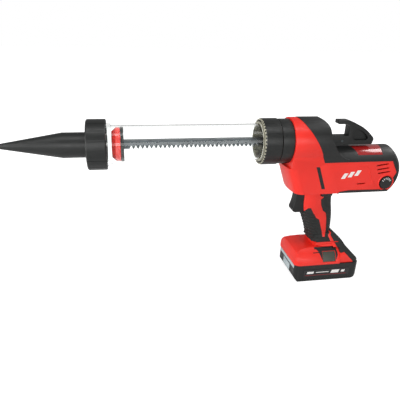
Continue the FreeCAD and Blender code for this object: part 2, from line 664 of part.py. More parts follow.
COVER = [(-84.0, 292.0), (-67.0, 275.0), (-57.0, 262.0), (-45.0, 244.0), (-36.0, 228.0), (-29.5, 212.5),
         (87.0, 212.5), (98.0, 193.0), (92.5, 181.0), (94.0, 152.0), (140.0, 152.0), (140.0, 292.0)]
GRIP_COVER = [(-60.0, 40.0), (-60.0, 116.0), (-43.5, 119.0), (-38.0, 127.5), (-33.5, 128.0), (-28.5, 119.0),
              (-22.0, 109.5), (-16.5, 106.5), (-8.0, 83.0), (-6.0, 73.5), (-1.5, 73.5), (-0.5, 86.0),
              (-3.5, 110.0), (-6.0, 118.0), (-12.0, 123.0), (-16.5, 133.0), (-18.5, 143.0), (-8.0, 153.0),
              (4.0, 163.0), (20.0, 165.0), (94.0, 164.0), (94.0, 150.0), (90.0, 120.0), (90.0, 84.0),
              (8.0, 84.0), (4.0, 75.0), (16.7, 47.5), (16.7, 40.0)]
# panel over the crown of the motor housing, seen from above
WINDOW = [(30.0, -25.5), (72.0, -25.5), (77.0, 0.0), (72.0, 25.5), (30.0, 25.5), (25.0, 0.0)]
SIDE_SLOT = [(-42.5, 206.0), (-36.5, 206.0), (-22.5, 168.5), (-28.5, 168.5)]
BUMPER = [(9.5, 90.0), (9.5, 75.0), (22.8, 49.5), (30.0, 50.5), (47.0, 33.0), (48.0, 20.0),
          (70.0, 20.0), (70.0, 90.0)]


# places along X and up Z of the shell screws, with the half width of the housing there
SCREWS = ((-70.0, 263.0, 26.0), (-60.0, 172.0, 33.0), (-16.0, 170.0, 33.0), (56.0, 167.5, 33.0),
          (0.0, 108.0, 17.0), (36.0, 42.5, 36.0))
SCREW_RADIUS, HEAD_RADIUS, BOSS_RADIUS, SCREW_GAP = 1.6, 3.2, 4.2, 0.08


def screw_bosses(side):
    """Hollow posts that the screws run through; side is -1 for the left shell, 1 for the right."""
    posts = []
    for along, up, reach in SCREWS:
        post = cylinder(BOSS_RADIUS, (along, 0, up), (0, side, 0), reach - 1.0)
        hole = cylinder(SCREW_RADIUS + SCREW_GAP, (along, 0, up), (0, side, 0), reach - 6.6)
        posts.append(post.cut(hole))
    return posts


def screw_holes():
    """Through holes and head recesses of the right shell."""
    holes = []
    for along, up, reach in SCREWS:
        holes.append(cylinder(SCREW_RADIUS + SCREW_GAP, (along, 0, up), (0, 1, 0), reach + 6.0))
        holes.append(cylinder(HEAD_RADIUS + SCREW_GAP, (along, reach - 2.6, up), (0, 1, 0), 12.0))
    return holes


def build_housing():
    """Left and right shells with their soft covers, slot inlays, windows and foot bumper."""
    proud, wall = V["cover_proud"], V["shell_wall"]
    outer = housing_form(0.0)
    raised = housing_form(proud)
    inner = housing_form(-wall)
    core = housing_form(-V["skin_depth"])
    cover, grip_cover = prism(COVER, "side"), prism(GRIP_COVER, "side")
    slot, bumper = prism(SIDE_SLOT, "side"), prism(BUMPER, "side")
    band = box((-REACH, -V["body_half_width"] + 1.8, 0), (REACH, V["body_half_width"] - 1.8, REACH))
    slot_inlay = slot.cut(band)
    crown_only = box((-REACH, -REACH, V["under_height"] + 40.0), (REACH, REACH, REACH))
    window_inlay = prism(WINDOW, "plan").common(crown_only)
    foot_only = box((-REACH, -REACH, 0), (REACH, REACH, 90.0))

    axis, gap = V["axis_height"], V["free_gap"]
    trigger_way = box((-90.0, -9.5, 117.0), (-32.5, 9.5, 156.6))
    selector_way = box((-20.4, -REACH, 149.6), (-7.6, REACH, 156.4))
    rack_way = box((-30.0, -8.2, 232.6), (40.0, 8.2, 249.0))
    nose_way = cylinder(V["mount_bore"], (-90.0, 0, axis), (1, 0, 0), 12.0)
    deck = V["pack_top"]
    rail_side = V["rail_half_width"] + gap
    rail_way = box((-60.0, -rail_side, 61.2), (22.8, rail_side, V["rail_top"] + gap))
    stem_way = box((-60.0, -V["rail_stem"] - gap, deck - 1), (22.8, V["rail_stem"] + gap, 62.0))
    dial_way = cylinder(V["dial_radius"] + gap, (V["dial_place"], -60.0, V["dial_height"]), (0, 1, 0), 34.0)
    ways = [trigger_way, selector_way, rack_way, nose_way, rail_way, stem_way]
    for along, up in ((60.0, 204.0), (62.6, 197.2), (65.2, 190.8)):
        ways.append(prism([(along, up), (along + 21.0, up + 2.7), (along + 21.4, up + 5.0), (along + 0.4, up + 2.3)],
                          "side"))
    ways.append(prism([(31.0, 174.0), (46.0, 174.8), (46.4, 176.8), (31.4, 176.0)], "side"))

    left = box((-REACH, -REACH, 0), (REACH, 0, REACH))
    skin = outer.cut([inner] + ways)
    rear = raised.cut([inner] + ways).common(cover).cut(window_inlay)
    soft = raised.cut([core] + ways).cut(cover)
    pad = soft.common(bumper).common(foot_only)
    hand = soft.common(grip_cover).cut(bumper.common(foot_only))
    shell = skin.cut([cover, slot_inlay, hand, pad])
    pane = raised.cut(inner).common(window_inlay).common(left)
    inlay = outer.cut(inner).common(slot_inlay).common(left)
    for name, form in (("shell", shell), ("rear_cover", rear), ("grip_cover", hand)):
        left_half = biggest(form.common(left))
        right_half = flipped(left_half)
        if name == "shell":
            left_half = left_half.fuse(trimmed(screw_bosses(-1), core))
            right_half = right_half.fuse(trimmed(screw_bosses(1), core))
        solid(f"left_{name}", biggest(left_half.cut(dial_way)))
        solid(f"right_{name}", biggest(right_half.cut(screw_holes())))
    solid("left_window", pane)
    solid("right_window", flipped(pane))
    solid("left_slot_inlay", inlay)
    solid("right_slot_inlay", flipped(inlay))
    solid("foot_bumper", biggest(pad))


def trimmed(posts, core):
    """Posts kept under the housing's soft skin."""
    return [post.common(core) for post in posts]


def biggest(shape):
    """The main solid of a cut; slivers cut off beside it are dropped."""
    return max(shape.Solids, key=lambda item: item.Volume)


def build_controls():
    """Trigger with its spring and switch, direction shuttle and speed dial."""
    outline = [(-59.0, 155.5), ((-59.6, 140.0), (-62.6, 127.5)), ((-61.8, 120.6), (-56.0, 118.0)),
               (-41.0, 118.0), (-41.0, 155.5)]
    half = 9.0
    solid("trigger", face(outline, "side", -half).extrude(Vector(0, 2 * half, 0)))
    solid("trigger_switch", box((-31.0, -8.0, 120.0), (-14.0, 8.0, 146.0)))
    radius, wire_radius, length = 3.0, 0.5, 9.0
    coil = Part.makeHelix(2.25, length, radius)
    section = Part.Wire([Part.Circle(Vector(radius, 0, 0), Vector(0, 1, 0), wire_radius).toShape()])
    spring = Part.Wire(coil.Edges).makePipeShell([section], True, True)
    spring.rotate(Vector(0, 0, 0), Vector(0, 1, 0), 90)
    spring.translate(Vector(-40.5, 0, 136.0))
    solid("trigger_spring", spring)
    solid("selector", box((-19.8, -22.0, 150.0), (-8.2, 22.0, 156.0)))
    place, height = V["dial_place"], V["dial_height"]
    corners = []
    ridges = 20
    for number in range(ridges):
        for offset, radius in ((0.0, V["dial_radius"]), (0.3, V["dial_radius"]), (0.5, V["dial_radius"] - 0.9),
                               (0.8, V["dial_radius"] - 0.9)):
            turn = 2 * math.pi * (number + offset) / ridges
            corners.append((radius * math.cos(turn), radius * math.sin(turn)))
    wheel = toothed_disc(corners, (place, -35.0, height), "Y", 9.0)
    stem = cylinder(3.0, (place, -26.5, height), (0, 1, 0), 4.0)
    solid("speed_dial", wheel.fuse(stem))
    board = box((place - 12.0, -21.0, height - 9.0), (place + 12.0, -19.0, height + 9.0))
    pot = box((place - 5.0, -22.4, height - 5.0), (place + 5.0, -21.0, height + 5.0))
    solid("control_board", board.fuse(pot))


# ---- battery pack ------------------------------------------------------------------------------

def upper_form(grow):
    base, top = V["pack_joint"], V["pack_top"]
    half = V["pack_width"] / 2
    side = [(-59.0, base), (-61.0, base + 3.5), (-54.5, 51.5), (-46.0, 55.6), (-31.0, top), (22.0, top), (22.0, base)]
    end = mirrored([(-half, base), (-half, base + 5), (-half + 6.0, top - 9.0), (-24.0, top)])
    plan = [(-61.0, -half + 15.0), ((-57.6, -half + 4.2), (-47.0, -half)), (22.0, -half), (22.0, half), (-47.0, half),
            ((-57.6, half - 4.2), (-61.0, half - 15.0))]
    return prism(side, "side", grow).common(prism(end, "end", grow)).common(prism(plan, "plan", grow))


def lower_form(grow):
    half, long = V["pack_width"] / 2, V["pack_length"] / 2
    low, top = V["pack_foot"], V["pack_joint"]
    side = [(-long + 6, low), (long - 12, low), ((long - 4, low + 3.5), (long, low + 12)), (long, top),
            (-long, top), ((-long, low + 8), (-long + 6, low))]
    corner = 8.0
    plan = [(-long, -half + corner), ((-long + 2.3, -half + 2.3), (-long + corner, -half)), (long - corner, -half),
            ((long - 2.3, -half + 2.3), (long, -half + corner)), (long, half - corner),
            ((long - 2.3, half - 2.3), (long - corner, half)), (-long + corner, half),
            ((-long + 2.3, half - 2.3), (-long, half - corner))]
    return prism(side, "side", grow).common(prism(plan, "plan", grow))


def build_battery():
    wall = V["pack_wall"]
    base = V["pack_joint"]
    cells_room = lower_form(-wall).cut(box((-REACH, -REACH, base - wall), (REACH, REACH, REACH)))
    opening = lower_form(-wall).common(box((-REACH, -REACH, 6.0), (22.0 - wall, REACH, REACH)))
    opening = opening.fuse(box((-30, -30, base - wall - 1), (15, 30, base + 1)))
    lower = lower_form(0.0).cut([cells_room, opening])
    meter_way = box((-REACH, -14.0, 9.0), (-V["pack_length"] / 2 + wall + 1, 14.0, 21.0))
    solid("battery_lower_case", biggest(lower.cut(meter_way)))

    latch_low, latch_high = (-9.0, 36.0), (14.0, 51.0)
    gap = V["free_gap"]
    latch_way = box((latch_low[0] - gap, -REACH, latch_low[1] - gap), (latch_high[0] + gap, REACH, latch_high[1] + gap))
    rails = box((-20.0, -V["rail_half_width"], 61.6), (22.0, V["rail_half_width"], V["rail_top"]))
    rails = rails.fuse(box((-20.0, -V["rail_stem"], V["pack_top"] - 1), (22.0, V["rail_stem"], 62.0)))
    hollow = upper_form(-wall).fuse(box((-54.0, -34.0, base - 1), (22.0 - wall, 34.0, base + 4)))
    upper = upper_form(0.0).cut(hollow).cut(latch_way).fuse(rails)
    solid("battery_upper_case", biggest(upper))

    inner_y = -29.0
    latch = upper_form(-0.2).common(box((latch_low[0], -REACH, latch_low[1]), (latch_high[0], inner_y, latch_high[1])))
    solid("latch_button_left", latch)
    solid("latch_button_right", flipped(latch))
    spring = tube(2.5, 1.6, (2.5, inner_y, 44.0), (0, 1, 0), 7.0)
    solid("latch_spring_left", spring)
    solid("latch_spring_right", flipped(spring))
    cells = []
    for number in range(-2, 3):
        cells.append(cylinder(V["cell_radius"], (number * V["cell_pitch"], -V["cell_length"] / 2, V["cell_height"]),
                              (0, 1, 0), V["cell_length"]))
    solid("battery_cells", Part.makeCompound(cells))
    solid("battery_board", box((-50.0, -20.0, 47.5), (15.0, 20.0, 49.1)))
    panel = box((-V["pack_length"] / 2 - 0.5, -14.0, 9.0), (-V["pack_length"] / 2 + wall, 14.0, 21.0))
    button_hole = cylinder(3.4, (-70.0, 8.5, 15.0), (1, 0, 0), 20.0)
    solid("gauge_panel", panel.cut(button_hole))
    solid("gauge_button", cylinder(3.0, (-V["pack_length"] / 2 - 1.3, 8.5, 15.0), (1, 0, 0), 3.2))
    solid("terminal_block", box((-10.0, -13.0, 67.0), (10.0, 13.0, 71.5)))


def build_fasteners():
    """Shell screws with their heads on the right side, all one kind in one node."""
    screws = []
    for along, up, reach in SCREWS:
        shank = cylinder(SCREW_RADIUS, (along, 7.0 - reach, up), (0, 1, 0), 2 * reach - 9.0)
        screws.append(shank.fuse(cylinder(HEAD_RADIUS, (along, reach - 2.6, up), (0, 1, 0), 2.0)))
    solid("shell_screws", Part.makeCompound(screws))


def main():
    build_nozzle()
    build_front_cap()
    build_front_ring()
    build_tube()
    build_rear_ring()
    build_barrel_collar()
    build_mount_ring()
    build_plunger()
    build_rack()
    build_hook()
    low = build_drive()
    build_gear_frame(low)
    build_motor(low)
    build_housing()
    build_controls()
    build_battery()
    build_fasteners()
    DOC.recompute()
    for item in DOC.Objects:
        if "Invalid" in item.State or "Error" in item.State:
            raise RuntimeError(f"{item.Label}: {item.State}")
    os.makedirs("parts", exist_ok=True)
    for item in SUB_PARTS:
        if item.Shape.isNull() or not item.Shape.isValid():
            raise RuntimeError(f"{item.Label} has no valid shape")
        item.Shape.exportStep(f"parts/{item.Label}.step")
        print(item.Label, len(item.Shape.Solids), round(item.Shape.Volume))
    print(len(SUB_PARTS), "sub-parts")


main()
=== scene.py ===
"""Looks of the battery caulking gun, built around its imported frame. Lengths are in metres."""

import json
import math

import bmesh
import bpy
from mathutils import Matrix, Vector
from mathutils.bvhtree import BVHTree


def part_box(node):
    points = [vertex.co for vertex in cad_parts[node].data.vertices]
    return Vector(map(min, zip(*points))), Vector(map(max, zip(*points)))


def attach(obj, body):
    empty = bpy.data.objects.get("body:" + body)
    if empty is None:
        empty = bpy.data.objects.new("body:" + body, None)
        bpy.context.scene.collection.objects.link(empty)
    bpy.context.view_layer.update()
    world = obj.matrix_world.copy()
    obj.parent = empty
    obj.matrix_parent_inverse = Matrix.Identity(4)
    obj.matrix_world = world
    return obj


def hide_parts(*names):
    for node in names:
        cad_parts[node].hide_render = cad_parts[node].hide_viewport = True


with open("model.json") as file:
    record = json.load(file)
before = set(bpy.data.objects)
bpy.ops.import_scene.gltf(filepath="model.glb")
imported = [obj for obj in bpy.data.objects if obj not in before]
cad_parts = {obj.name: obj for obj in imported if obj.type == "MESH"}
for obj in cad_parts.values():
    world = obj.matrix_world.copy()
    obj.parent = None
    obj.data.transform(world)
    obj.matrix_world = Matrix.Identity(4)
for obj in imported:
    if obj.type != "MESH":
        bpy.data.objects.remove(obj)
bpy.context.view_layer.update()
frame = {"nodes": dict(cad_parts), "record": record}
MM = 0.001
RAY_START = 90.0
LEFT, RIGHT, DOWN = (0, -1, 0), (0, 1, 0), (0, 0, -1)
AXIS_Z = (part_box("barrel_tube")[0].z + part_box("barrel_tube")[1].z) / 2


# ---- camera, stage and light -------------------------------------------------------------------

def add_camera():
    yaw, pitch, roll = (math.radians(angle) for angle in (10.47, 23.03, 1.68))
    place = Vector((-0.3337, -0.6181, 0.4118))
    ahead = Vector((math.sin(yaw) * math.cos(pitch), math.cos(yaw) * math.cos(pitch), -math.sin(pitch)))
    right = Vector((math.cos(yaw), -math.sin(yaw), 0))
    up = right.cross(ahead)
    tilted_right = right * math.cos(roll) + up * math.sin(roll)
    tilted_up = up * math.cos(roll) - right * math.sin(roll)
    data = bpy.data.cameras.new("camera")
    data.sensor_width = 36.0
    data.lens = 38.03
    data.clip_start = 0.01
    camera = bpy.data.objects.new("camera", data)
    rows = Matrix((tilted_right, tilted_up, -ahead)).transposed()
    camera.matrix_world = Matrix.Translation(place) @ rows.to_4x4()
    bpy.context.scene.collection.objects.link(camera)
    bpy.context.scene.camera = camera


def area_light(name, place, target, size, power):
    data = bpy.data.lights.new(name, "AREA")
    data.shape = "RECTANGLE"
    data.size, data.size_y = size
    data.energy = power
    light = bpy.data.objects.new(name, data)
    light.location = place
    light.rotation_euler = (Vector(target) - Vector(place)).to_track_quat("-Z", "Y").to_euler()
    bpy.context.scene.collection.objects.link(light)


def seen_directly(nodes, links):
    """1 where the eye looks at the stage itself, or at it through the clear barrel."""
    path = nodes.new("ShaderNodeLightPath")
    either = nodes.new("ShaderNodeMath")
    either.operation = "MAXIMUM"
    links.new(path.outputs["Is Camera Ray"], either.inputs[0])
    links.new(path.outputs["Is Transmission Ray"], either.inputs[1])
    return either.outputs["Value"]


def white_background(world):
    """World that lights softly but shows pure white behind the object."""
    nodes, links = world.node_tree.nodes, world.node_tree.links
    soft = nodes["Background"]
    soft.inputs["Color"].default_value = (1.0, 1.0, 1.0, 1.0)
    soft.inputs["Strength"].default_value = 0.3
    seen = nodes.new("ShaderNodeBackground")
    seen.inputs["Color"].default_value = (1.0, 1.0, 1.0, 1.0)
    pick = nodes.new("ShaderNodeMixShader")
    links.new(seen_directly(nodes, links), pick.inputs["Fac"])
    links.new(soft.outputs["Background"], pick.inputs[1])
    links.new(seen.outputs["Background"], pick.inputs[2])
    links.new(pick.outputs["Shader"], nodes["World Output"].inputs["Surface"])


def floor_material():
    """White floor that fades to a plain white horizon and keeps a faint contact shadow."""
    material = bpy.data.materials.new("floor_white")
    material.use_nodes = True
    nodes, links = material.node_tree.nodes, material.node_tree.links
    shader = nodes["Principled BSDF"]
    shader.inputs["Base Color"].default_value = (0.5, 0.5, 0.5, 1)
    shader.inputs["Roughness"].default_value = 0.9
    shader.inputs["Specular IOR Level"].default_value = 0.0
    shader.inputs["Emission Color"].default_value = (1, 1, 1, 1)
    coords = nodes.new("ShaderNodeTexCoord")
    length = nodes.new("ShaderNodeVectorMath")
    length.operation = "LENGTH"
    fade = nodes.new("ShaderNodeMapRange")
    fade.inputs["From Min"].default_value = 0.35
    fade.inputs["From Max"].default_value = 1.0
    fade.inputs["To Min"].default_value = 0.8
    fade.inputs["To Max"].default_value = 1.1
    glow = nodes.new("ShaderNodeMix")
    glow.inputs[2].default_value = 0.22
    links.new(coords.outputs["Object"], length.inputs[0])
    links.new(length.outputs["Value"], fade.inputs["Value"])
    links.new(seen_directly(nodes, links), glow.inputs[0])
    links.new(fade.outputs["Result"], glow.inputs[3])
    links.new(glow.outputs[0], shader.inputs["Emission Strength"])
    return material


def add_stage():
    scene = bpy.context.scene
    scene.view_settings.view_transform = "Standard"
    world = bpy.data.worlds.new("studio")
    world.use_nodes = True
    white_background(world)
    scene.world = world
    reach, level = 6.0, -0.5 * MM
    mesh = bpy.data.meshes.new("floor")
    corners = [(x * reach, y * reach, level) for x, y in ((-1, -1), (1, -1), (1, 1), (-1, 1))]
    mesh.from_pydata(corners, [], [(0, 1, 2, 3)])
    mesh.materials.append(floor_material())
    floor = bpy.data.objects.new("floor", mesh)
    scene.collection.objects.link(floor)
    area_light("top_softbox", (-0.25, -0.25, 1.25), (-0.2, 0, 0.2), (1.5, 0.3), 5.0)
    area_light("front_softbox", (-1.35, -0.35, 0.5), (-0.05, 0, 0.15), (0.6, 0.9), 10.5)
    area_light("side_softbox", (0.1, -1.5, 0.6), (0, 0, 0.15), (1.2, 0.5), 6.0)
    area_light("left_softbox", (-0.75, -1.15, 0.5), (-0.35, 0, 0.22), (0.7, 0.5), 3.5)
    area_light("rear_strip", (0.9, 0.4, 0.9), (0.05, 0, 0.2), (0.3, 0.9), 5.0)


# ---- materials ---------------------------------------------------------------------------------

class Shader:
    """Small helper that wires nodes of one material."""

    def __init__(self, name):
        self.material = bpy.data.materials.new(name)
        self.material.use_nodes = True
        self.nodes = self.material.node_tree.nodes
        self.links = self.material.node_tree.links
        self.principled = self.nodes["Principled BSDF"]
        self.coords = self.nodes.new("ShaderNodeTexCoord").outputs["Object"]

    def set(self, **values):
        for name, value in values.items():
            self.principled.inputs[name.replace("_", " ")].default_value = value
        return self

    def noise(self, scale, detail=3.0, stretch=None):
        node = self.nodes.new("ShaderNodeTexNoise")
        node.inputs["Scale"].default_value = scale
        node.inputs["Detail"].default_value = detail
        source = self.coords
        if stretch:
            mapping = self.nodes.new("ShaderNodeMapping")
            mapping.inputs["Scale"].default_value = stretch
            self.links.new(source, mapping.inputs["Vector"])
            source = mapping.outputs["Vector"]
        self.links.new(source, node.inputs["Vector"])
        return node.outputs["Fac"]

    def ranged(self, source, low, high, start=0.3, end=0.7):
        node = self.nodes.new("ShaderNodeMapRange")
        node.inputs["From Min"].default_value = start
        node.inputs["From Max"].default_value = end
        node.inputs["To Min"].default_value = low
        node.inputs["To Max"].default_value = high
        self.links.new(source, node.inputs["Value"])
        return node.outputs["Result"]

    def mixed(self, factor, first, second):
        node = self.nodes.new("ShaderNodeMix")
        node.data_type = "RGBA"
        self.links.new(factor, node.inputs["Factor"])
        for socket, value in ((node.inputs[6], first), (node.inputs[7], second)):
            if isinstance(value, tuple):
                socket.default_value = (*value, 1.0)
            else:
                self.links.new(value, socket)
        return node.outputs[2]

    def feed(self, name, source):
        self.links.new(source, self.principled.inputs[name])
        return self

    def bump(self, source, depth, strength=1.0, under=None):
        node = self.nodes.new("ShaderNodeBump")
        node.inputs["Strength"].default_value = strength
        node.inputs["Distance"].default_value = depth
        self.links.new(source, node.inputs["Height"])
        if under is not None:
            self.links.new(under, node.inputs["Normal"])
        return node.outputs["Normal"]

    def edge_wear(self, amount):
        """Factor that rises on worn outer edges."""
        geometry = self.nodes.new("ShaderNodeNewGeometry")
        return self.ranged(geometry.outputs["Pointiness"], 0.0, amount, 0.52, 0.62)


def shaded(color, amount):
    return tuple(channel * amount for channel in color)


def moulded(name, color, rough, grain=2600.0, depth=0.00006, wear=0.25, coat=0.0):
    """Injection-moulded plastic: fine eroded grain, cloudy sheen and slightly rubbed edges."""
    shader = Shader(name)
    cloud = shader.ranged(shader.noise(22.0), 0.0, 1.0)
    base = shader.mixed(cloud, shaded(color, 0.93), shaded(color, 1.05))
    worn = tuple(min(1.0, channel * 1.25 + 0.02) for channel in color)
    shader.feed("Base Color", shader.mixed(shader.edge_wear(wear), base, worn))
    shader.feed("Roughness", shader.ranged(shader.noise(140.0, 5.0), rough - 0.04, rough + 0.06))
    shader.feed("Normal", shader.bump(shader.noise(grain, 2.0), depth, 0.35))
    return shader.set(Coat_Weight=coat, Coat_Roughness=0.12).material


def soft_rubber(name, color):
    shader = Shader(name)
    cloud = shader.ranged(shader.noise(30.0), 0.0, 1.0)
    shader.feed("Base Color", shader.mixed(cloud, shaded(color, 0.85), shaded(color, 1.2)))
    shader.feed("Roughness", shader.ranged(shader.noise(200.0, 4.0), 0.5, 0.68))
    fine = shader.bump(shader.noise(3200.0, 2.0), 0.00008, 0.5)
    shader.feed("Normal", shader.bump(shader.noise(700.0, 2.0), 0.00008, 0.3, fine))
    return shader.material


def milled_steel(name, color, rough, stretch=(1, 60, 60)):
    shader = Shader(name)
    streaks = shader.noise(500.0, 4.0, stretch)
    tone = shader.ranged(streaks, 0.0, 1.0)
    shader.feed("Base Color", shader.mixed(tone, shaded(color, 0.8), shaded(color, 1.1)))
    shader.feed("Roughness", shader.ranged(streaks, rough - 0.08, rough + 0.1))
    shader.feed("Normal", shader.bump(streaks, 0.00003, 0.4))
    return shader.set(Metallic=1.0).material


def clear_plastic(name):
    """Clear acrylic with faint handling haze."""
    shader = Shader(name)
    shader.feed("Roughness", shader.ranged(shader.noise(60.0, 5.0), 0.0, 0.02))
    shader.set(Base_Color=(0.985, 0.995, 0.99, 1.0), Transmission_Weight=1.0, IOR=1.28)
    return shader.material


RED = (0.79, 0.017, 0.007)
BLACK = (0.0062, 0.0072, 0.0068)
MATERIALS = {
    "red_plastic": moulded("red_plastic", RED, 0.38, coat=0.08),
    "red_gloss": moulded("red_gloss", (0.36, 0.012, 0.012), 0.14, depth=0.00001, coat=0.6),
    "black_plastic": moulded("black_plastic", BLACK, 0.4),
    # black plastic darkened to 0.45 of its colour: painted shade on a copy of the same plastic, also slightly
    # rougher
    "cover_black_painted_shade": moulded("cover_black_painted_shade", shaded(BLACK, 0.45), 0.46),
    "soft_grip": soft_rubber("soft_grip", (0.0085, 0.0095, 0.0085)),
    "clear_plastic": clear_plastic("clear_plastic"),
    "rack_steel": milled_steel("rack_steel", (0.1, 0.113, 0.12), 0.36),
    "gear_steel": milled_steel("gear_steel", (0.5, 0.5, 0.52), 0.3, (60, 60, 1)),
    "plate_aluminium": milled_steel("plate_aluminium", (0.75, 0.76, 0.78), 0.45, (1, 1, 1)),
    "motor_metal": milled_steel("motor_metal", (0.55, 0.55, 0.57), 0.3),
    "cell_wrap": moulded("cell_wrap", (0.03, 0.25, 0.2), 0.25),
    "board_green": moulded("board_green", (0.02, 0.16, 0.06), 0.3),
    "grey_plastic": moulded("grey_plastic", (0.05, 0.056, 0.042), 0.42),
    "pale_grey": moulded("pale_grey", (0.45, 0.52, 0.54), 0.2),
    "copper_alloy": milled_steel("copper_alloy", (0.8, 0.5, 0.25), 0.3),
    "ivory_ring": moulded("ivory_ring", (0.33, 0.315, 0.235), 0.25, coat=0.3),
    "print_white": moulded("print_white", (0.82, 0.8, 0.78), 0.35, depth=0.00001),
    "print_red": moulded("print_red", (0.2, 0.012, 0.014), 0.3, depth=0.00001),
    "label_black": moulded("label_black", (0.006, 0.006, 0.007), 0.18, depth=0.00001, coat=0.3),
    "plunger_red": moulded("plunger_red", (0.8, 0.026, 0.016), 0.2, depth=0.00001, coat=0.5),
}


# ---- mesh helpers ------------------------------------------------------------------------------

BODY_OF = {}
for body_name, members in frame["record"]["behaviour"]["bodies"].items():
    for member in members:
        BODY_OF[member] = body_name
SLOT_OF = {part["node"]: part["material_slot"] for part in frame["record"]["subparts"]}


def new_piece(name, bm, material, body, smooth_angle=30.0):
    """Turn a bmesh into a shaded piece riding on a body."""
    for edge in bm.edges:
        if len(edge.link_faces) == 2:
            edge.smooth = edge.calc_face_angle(0.0) < math.radians(smooth_angle)
    for polygon in bm.faces:
        polygon.smooth = True
    mesh = bpy.data.meshes.new(name)
    bm.to_mesh(mesh)
    bm.free()
    mesh.materials.append(MATERIALS[material])
    piece = bpy.data.objects.new(name, mesh)
    bpy.context.scene.collection.objects.link(piece)
    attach(piece, body)
    return piece


def sink_side_faces(bm, way, rim, depth):
    """Sink the broadest flat face that looks along way, leaving a rim around it."""
    facing = [face for face in bm.faces if face.normal.dot(Vector(way)) > 0.995]
    if facing:
        broadest = max(facing, key=lambda face: face.calc_area())
        bmesh.ops.inset_region(bm, faces=[broadest], thickness=rim, depth=-depth, use_even_offset=True)


def refined(node, bevel=0.8 * MM, segments=3, angle=28.0, material=None, sunk=()):
    """Stand-in for a CAD node with welded corners and softly rounded edges."""
    bm = bmesh.new()
    bm.from_mesh(frame["nodes"][node].data)
    bmesh.ops.remove_doubles(bm, verts=bm.verts, dist=0.01 * MM)
    bmesh.ops.dissolve_limit(bm, angle_limit=math.radians(0.6), verts=bm.verts, edges=bm.edges,
                             delimit={"NORMAL"})
    for way, rim, depth in sunk:
        sink_side_faces(bm, way, rim, depth)
    least = math.radians(angle)
    sharp = [e for e in bm.edges if len(e.link_faces) == 2 and abs(e.calc_face_angle(0.0)) > least]
    if bevel and sharp:
        bmesh.ops.bevel(bm, geom=sharp, offset=bevel, segments=segments, profile=0.6, affect="EDGES",
                        clamp_overlap=True, harden_normals=False)
    slot = SLOT_OF[node]
    piece = new_piece(f"{node}_skin", bm, material or slot, BODY_OF[node], 24.0)
    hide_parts(node)
    return piece


REFINED = {
    "left_shell": 0.9, "right_shell": 0.9, "left_rear_cover": 0.9, "right_rear_cover": 0.9,
    "left_grip_cover": 0.4, "right_grip_cover": 0.4, "foot_bumper": 0.4,
    "left_window": 0.4, "right_window": 0.4,
    "left_slot_inlay": 0.3, "right_slot_inlay": 0.3, "pull_hook": 0.6, "trigger": 1.6, "selector": 1.0,
    "speed_dial": 0.3, "battery_lower_case": 1.2, "battery_upper_case": 1.2, "latch_button_left": 0.6,
    "latch_button_right": 0.6, "gauge_panel": 0.3, "gauge_button": 0.3, "nozzle": 0.4, "front_cap": 0.4,
    "barrel_collar": 0.3, "mount_ring": 0.6, "plunger_seal": 0.4,
}
SUNK = {"battery_lower_case": ((LEFT, 2.6 * MM, 0.8 * MM), (RIGHT, 2.6 * MM, 0.8 * MM))}


# the rear covers and the trigger take the darkened black copy, which is painted shade
OWN_MATERIAL = {"left_rear_cover": "cover_black_painted_shade", "right_rear_cover": "cover_black_painted_shade", "trigger": "cover_black_painted_shade"}


def finish_cad_nodes():
    """Every carried-over node gets its own finish; smooth where the surface is curved."""
    for name, item in frame["nodes"].items():
        item.data.materials.clear()
        item.data.materials.append(MATERIALS[SLOT_OF[name]])
    for node, bevel in REFINED.items():
        refined(node, bevel * MM, material=OWN_MATERIAL.get(node), sunk=SUNK.get(node, ()))
    refined("plunger_disc", 1.2 * MM, segments=4, material="plunger_red")


# ---- details laid on the surfaces --------------------------------------------------------------

def surface_of(*nodes):
    """Search tree over the outer faces of some CAD nodes."""
    corners, faces = [], []
    for node in nodes:
        mesh = frame["nodes"][node].data
        start = len(corners)
        corners += [vertex.co.copy() for vertex in mesh.vertices]
        faces += [[start + index for index in polygon.vertices] for polygon in mesh.polygons]
    return BVHTree.FromPolygons(corners, faces)


def side_rays(path, side, spacing=1.5):
    """Rays square to the tool's side through a path of (X, Z) corners in millimetres."""
    rays = []
    for (x, z), (next_x, next_z) in zip(path, path[1:]):
        steps = max(1, round(math.hypot(next_x - x, next_z - z) / spacing))
        for step in range(steps):
            share = step / steps
            place = Vector((x + (next_x - x) * share, side * RAY_START, z + (next_z - z) * share)) * MM
            rays.append((place, Vector((0, -side, 0))))
    rays.append((Vector((path[-1][0], side * RAY_START, path[-1][1])) * MM, Vector((0, -side, 0))))
    return rays


def rib(name, tree, rays, half_width, height, material, body, closed=False):
    """Low rounded rib that follows the surface where the rays meet it."""
    hits = [hit for hit in (tree.ray_cast(place, way) for place, way in rays) if hit[0] is not None]
    if closed:
        hits = hits[:-1]
    count = len(hits)
    bm = bmesh.new()
    rings = []
    for index, (place, normal, _, _) in enumerate(hits):
        before = hits[(index - 1) % count if closed else max(index - 1, 0)][0]
        after = hits[(index + 1) % count if closed else min(index + 1, count - 1)][0]
        across = (after - before).normalized().cross(normal).normalized()
        section = ((-1.0, -0.3), (-0.85, 0.45), (-0.4, 0.95), (0.4, 0.95), (0.85, 0.45), (1.0, -0.3))
        rings.append([bm.verts.new(place + across * (a * half_width) + normal * (b * height))
                      for a, b in section])
    pairs = list(zip(rings, rings[1:])) + ([(rings[-1], rings[0])] if closed else [])
    for first, second in pairs:
        for index in range(len(first)):
            turn = (index + 1) % len(first)
            bm.faces.new((first[index], first[turn], second[turn], second[index]))
    if not closed:
        bm.faces.new(rings[0])
        bm.faces.new(list(reversed(rings[-1])))
    bmesh.ops.recalc_face_normals(bm, faces=bm.faces)
    return new_piece(name, bm, material, body, 60.0)


